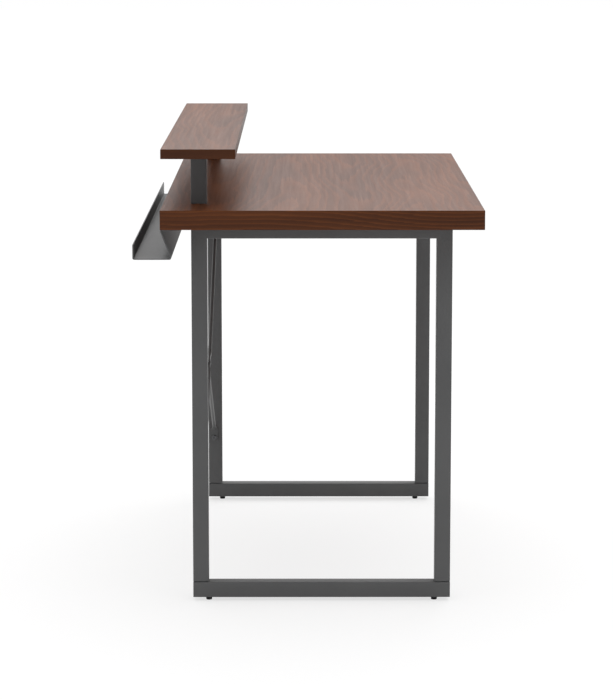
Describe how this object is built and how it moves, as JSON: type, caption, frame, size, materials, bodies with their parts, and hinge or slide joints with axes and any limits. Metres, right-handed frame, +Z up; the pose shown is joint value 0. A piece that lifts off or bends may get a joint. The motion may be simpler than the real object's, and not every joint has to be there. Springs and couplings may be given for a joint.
{
  "type": "computer desk",
  "caption": "Desk with a thick walnut-look top, two closed square-tube side frames, raised rear shelf, hanging cable tray, crossed rod brace and levelling feet.",
  "frame": {"origin": "on the floor, in the middle of the box that holds the whole desk", "axes": "+X to the right of someone sitting at the desk, +Y to the rear edge with the shelf and cable tray, +Z up"},
  "size_m": [1.2, 0.6514, 0.881],
  "materials": {
    "walnut_laminate": "satin",
    "powder_coat": "satin",
    "black_plastic": "matte",
    "black_steel": "satin",
    "zinc_steel": "satin"
  },
  "bodies": {
    "desk": {"tabletop_core": "walnut_laminate", "shelf_core": "walnut_laminate", "tabletop_left_edge": "walnut_laminate", "tabletop_right_edge": "walnut_laminate", "tabletop_front_edge": "walnut_laminate", "tabletop_rear_edge": "walnut_laminate", "shelf_left_edge": "walnut_laminate", "shelf_right_edge": "walnut_laminate", "shelf_front_edge": "walnut_laminate", "shelf_rear_edge": "walnut_laminate", "cable_tray": "powder_coat", "brace_rod_1": "powder_coat", "brace_rod_2": "powder_coat", "left_bottom_rail": "powder_coat", "left_top_rail": "powder_coat", "left_shelf_post": "powder_coat", "left_front_leg": "powder_coat", "left_rear_leg": "powder_coat", "right_bottom_rail": "powder_coat", "right_top_rail": "powder_coat", "right_shelf_post": "powder_coat", "right_front_leg": "powder_coat", "right_rear_leg": "powder_coat", "left_front_rail_plug": "black_plastic", "left_rear_rail_plug": "black_plastic", "right_front_rail_plug": "black_plastic", "right_rear_rail_plug": "black_plastic", "brace_rivet": "black_steel", "brace_screw_left_lower": "black_steel", "brace_screw_left_upper": "black_steel", "brace_screw_right_lower": "black_steel", "brace_screw_right_upper": "black_steel", "tray_screw_1": "black_steel", "tray_screw_2": "black_steel", "tray_screw_3": "black_steel", "tray_screw_4": "black_steel", "left_shelf_bolt": "zinc_steel", "left_shelf_insert": "zinc_steel", "left_frame_screw_1": "zinc_steel", "left_frame_screw_2": "zinc_steel", "left_frame_screw_3": "zinc_steel", "left_front_foot_nut": "zinc_steel", "left_rear_foot_nut": "zinc_steel", "right_shelf_bolt": "zinc_steel", "right_shelf_insert": "zinc_steel", "right_frame_screw_1": "zinc_steel", "right_frame_screw_2": "zinc_steel", "right_frame_screw_3": "zinc_steel", "right_front_foot_nut": "zinc_steel", "right_rear_foot_nut": "zinc_steel"},
    "left_front_leveller": {"left_front_foot": "black_plastic", "left_front_foot_stud": "zinc_steel"},
    "left_rear_leveller": {"left_rear_foot": "black_plastic", "left_rear_foot_stud": "zinc_steel"},
    "right_front_leveller": {"right_front_foot": "black_plastic", "right_front_foot_stud": "zinc_steel"},
    "right_rear_leveller": {"right_rear_foot": "black_plastic", "right_rear_foot_stud": "zinc_steel"}
  },
  "joints": [
    {"name": "left_front_foot_travel", "type": "slide", "parent": "desk", "child": "left_front_leveller", "axis": [0, 0, -1], "range_m": [0, 0.01]},
    {"name": "left_rear_foot_travel", "type": "slide", "parent": "desk", "child": "left_rear_leveller", "axis": [0, 0, -1], "range_m": [0, 0.01]},
    {"name": "right_front_foot_travel", "type": "slide", "parent": "desk", "child": "right_front_leveller", "axis": [0, 0, -1], "range_m": [0, 0.01]},
    {"name": "right_rear_foot_travel", "type": "slide", "parent": "desk", "child": "right_rear_leveller", "axis": [0, 0, -1], "range_m": [0, 0.01]}
  ]
}
